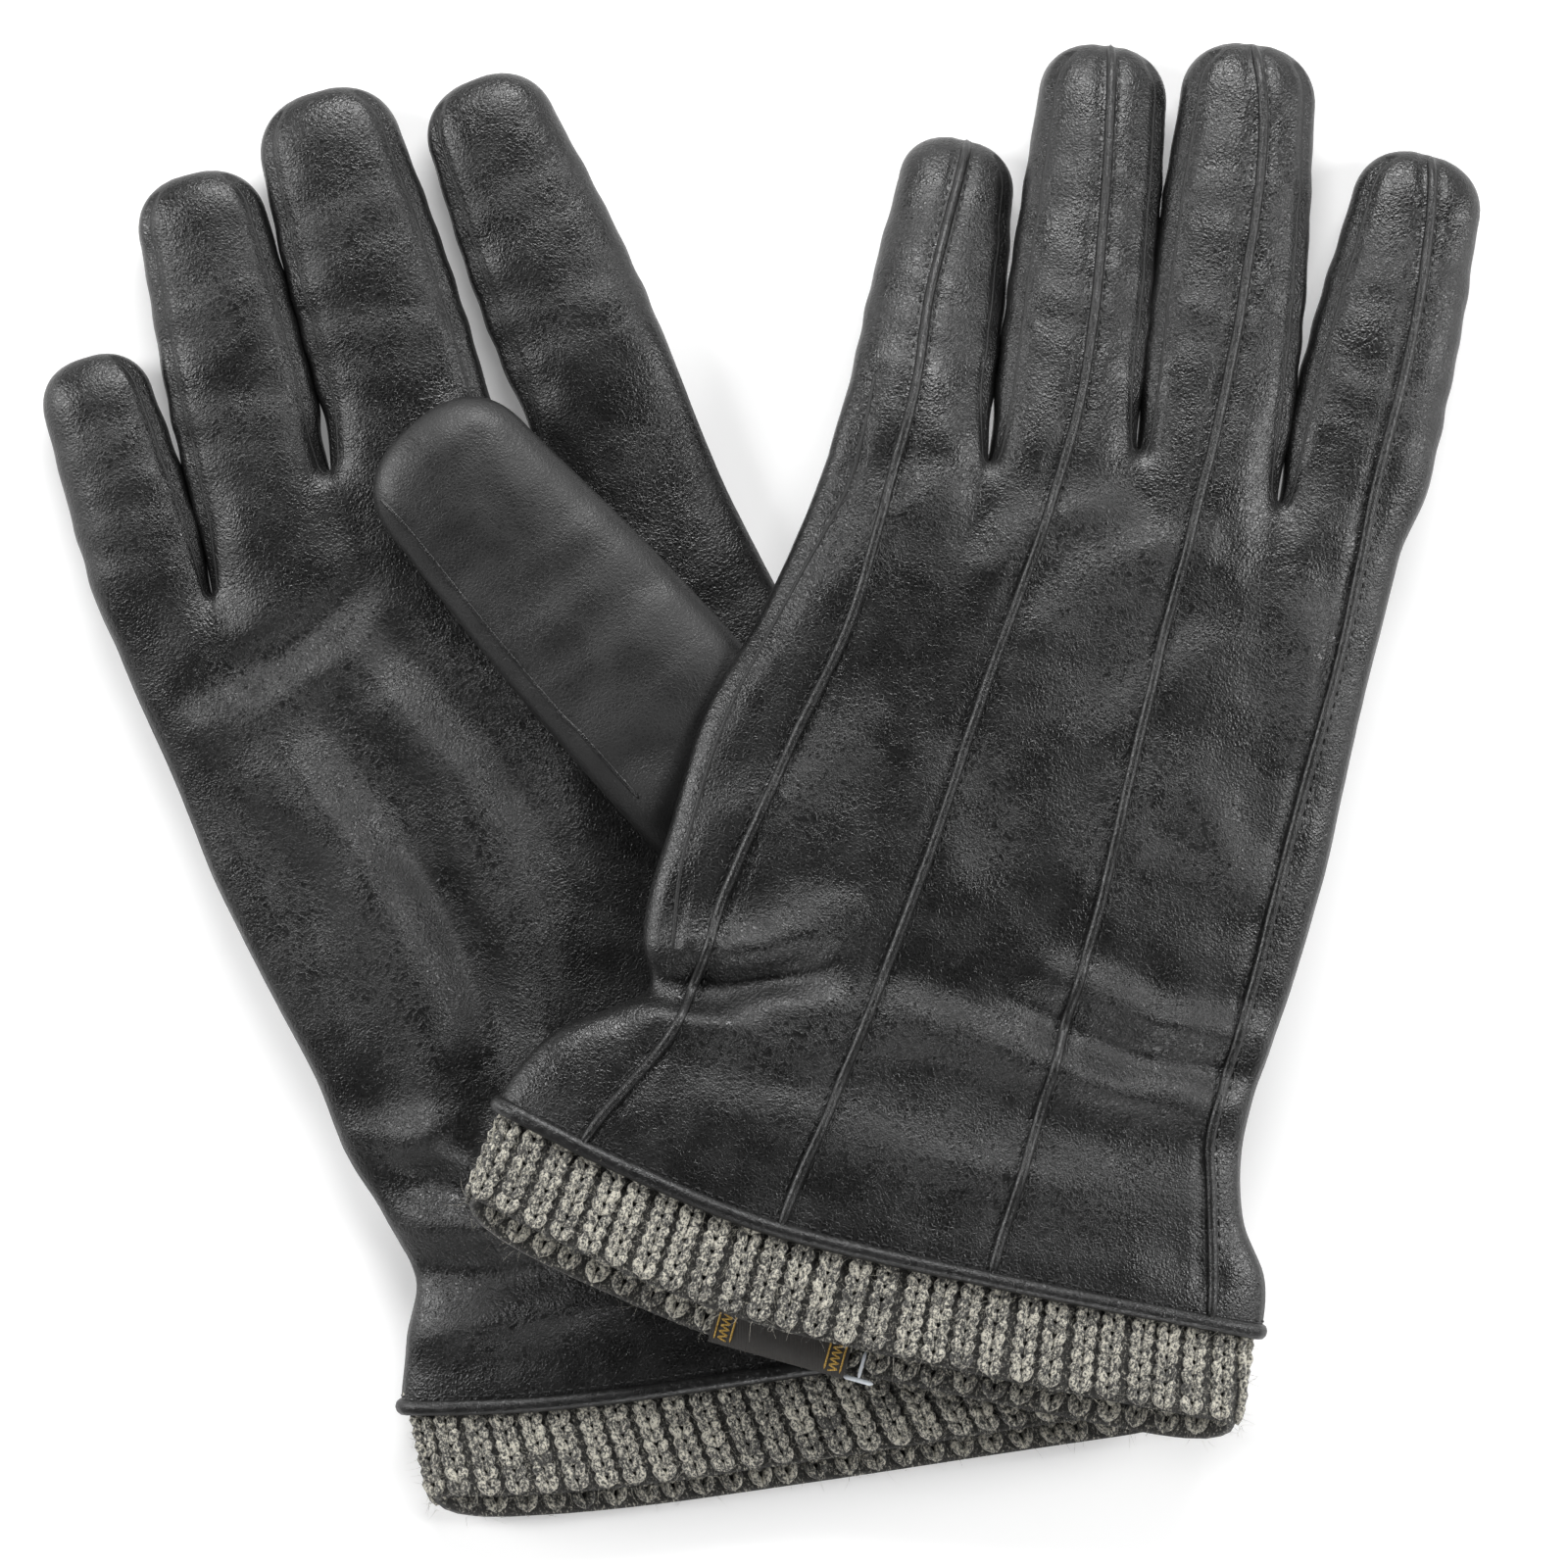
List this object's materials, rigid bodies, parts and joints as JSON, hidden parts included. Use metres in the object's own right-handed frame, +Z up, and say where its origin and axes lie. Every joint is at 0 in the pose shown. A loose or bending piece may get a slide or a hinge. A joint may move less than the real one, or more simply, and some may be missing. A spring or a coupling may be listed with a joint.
{
  "type": "leather gloves",
  "caption": "A pair of black leather dress gloves with raised seams on the back, a wool lining and ribbed knit cuffs, laid one across the other.",
  "frame": {"origin": "under the centre of the pair's box, on the surface that the gloves lie on", "axes": "+Z up from that surface; +Y from the cuffs towards the fingertips; +X from the right-hand glove towards the left-hand glove's fingers"},
  "size_m": [0.2685, 0.2751, 0.0393],
  "materials": {
    "nappa_leather": "fine-grained glossy glove nappa, black",
    "binding_leather": "rolled leather edge, black, semi-gloss",
    "wool_knit": "marled cream and charcoal wool, ribbed, fuzzy",
    "wool_lining": "soft grey wool jersey",
    "black_textile": "woven black tape and thread",
    "label_satin": "black satin with a gold woven border",
    "clear_plastic": "translucent plastic pin"
  },
  "bodies": {
    "right_glove": {"right_cuff_binding": "binding_leather", "right_hand_fourchettes": "nappa_leather", "right_hand_leather": "nappa_leather", "right_hand_lining": "wool_lining", "right_hand_points": "nappa_leather", "right_knit_cuff": "wool_knit", "right_wrist_elastic": "black_textile"},
    "left_glove": {"left_cuff_binding": "binding_leather", "left_hand_fourchettes": "nappa_leather", "left_hand_leather": "nappa_leather", "left_hand_lining": "wool_lining", "left_hand_points": "nappa_leather", "left_knit_cuff": "wool_knit", "left_size_label": "label_satin", "left_tag_pin": "clear_plastic", "left_wrist_elastic": "black_textile"},
    "left_index_finger": {"left_index_finger_fourchettes": "nappa_leather", "left_index_finger_leather": "nappa_leather", "left_index_finger_lining": "wool_lining", "left_index_finger_point": "nappa_leather"},
    "left_middle_finger": {"left_middle_finger_fourchettes": "nappa_leather", "left_middle_finger_leather": "nappa_leather", "left_middle_finger_lining": "wool_lining", "left_middle_finger_point": "nappa_leather"},
    "left_pinky_finger": {"left_pinky_finger_fourchettes": "nappa_leather", "left_pinky_finger_leather": "nappa_leather", "left_pinky_finger_lining": "wool_lining", "left_pinky_finger_point": "nappa_leather"},
    "left_ring_finger": {"left_ring_finger_fourchettes": "nappa_leather", "left_ring_finger_leather": "nappa_leather", "left_ring_finger_lining": "wool_lining", "left_ring_finger_point": "nappa_leather"},
    "left_thumb": {"left_thumb_leather": "nappa_leather", "left_thumb_lining": "wool_lining"},
    "right_index_finger": {"right_index_finger_fourchettes": "nappa_leather", "right_index_finger_leather": "nappa_leather", "right_index_finger_lining": "wool_lining", "right_index_finger_point": "nappa_leather"},
    "right_middle_finger": {"right_middle_finger_fourchettes": "nappa_leather", "right_middle_finger_leather": "nappa_leather", "right_middle_finger_lining": "wool_lining", "right_middle_finger_point": "nappa_leather"},
    "right_pinky_finger": {"right_pinky_finger_fourchettes": "nappa_leather", "right_pinky_finger_leather": "nappa_leather", "right_pinky_finger_lining": "wool_lining", "right_pinky_finger_point": "nappa_leather"},
    "right_ring_finger": {"right_ring_finger_fourchettes": "nappa_leather", "right_ring_finger_leather": "nappa_leather", "right_ring_finger_lining": "wool_lining", "right_ring_finger_point": "nappa_leather"},
    "right_thumb": {"right_thumb_leather": "nappa_leather", "right_thumb_lining": "wool_lining"}
  },
  "joints": [
    {"name": "left_glove_lift", "type": "slide", "parent": "right_glove", "child": "left_glove", "axis": [0, 0, 1], "range_m": [0, 0.12]},
    {"name": "right_index_finger_bend", "type": "hinge", "parent": "right_glove", "child": "right_index_finger", "pos_m": [-0.03705, 0.08929, 0.01568], "axis": [0.9239, 0.3827, 0], "range_deg": [0, 80]},
    {"name": "right_middle_finger_bend", "type": "hinge", "parent": "right_glove", "child": "right_middle_finger", "pos_m": [-0.07071, 0.08406, 0.01568], "axis": [0.9603, 0.279, 0], "range_deg": [0, 80]},
    {"name": "right_ring_finger_bend", "type": "hinge", "parent": "right_glove", "child": "right_ring_finger", "pos_m": [-0.09666, 0.06867, 0.01568], "axis": [0.974, 0.2267, 0], "range_deg": [0, 80]},
    {"name": "right_pinky_finger_bend", "type": "hinge", "parent": "right_glove", "child": "right_pinky_finger", "pos_m": [-0.11758, 0.04901, 0.01492], "axis": [0.9542, 0.299, 0], "range_deg": [0, 80]},
    {"name": "right_thumb_bend", "type": "hinge", "parent": "right_glove", "child": "right_thumb", "pos_m": [-0.03409, 0.03242, 0.03005], "axis": [0.7431, 0.6691, 0], "range_deg": [0, 70]},
    {"name": "left_index_finger_bend", "type": "hinge", "parent": "left_glove", "child": "left_index_finger", "pos_m": [0.11507, 0.07385, 0.021], "axis": [0.9648, -0.2476, -0.0883], "range_deg": [0, 75]},
    {"name": "left_middle_finger_bend", "type": "hinge", "parent": "left_glove", "child": "left_middle_finger", "pos_m": [0.08713, 0.08673, 0.02252], "axis": [0.9875, -0.1277, -0.0927], "range_deg": [0, 75]},
    {"name": "left_ring_finger_bend", "type": "hinge", "parent": "left_glove", "child": "left_ring_finger", "pos_m": [0.05996, 0.08953, 0.02394], "axis": [0.9861, -0.1381, -0.0924], "range_deg": [0, 75]},
    {"name": "left_pinky_finger_bend", "type": "hinge", "parent": "left_glove", "child": "left_pinky_finger", "pos_m": [0.03255, 0.08532, 0.02421], "axis": [0.9756, -0.2, -0.0902], "range_deg": [0, 75]},
    {"name": "left_thumb_bend", "type": "hinge", "parent": "left_glove", "child": "left_thumb", "pos_m": [0.06459, 0.00478, 0.0024], "axis": [-0.9403, -0.3265, 0.0963], "range_deg": [0, 70]}
  ]
}
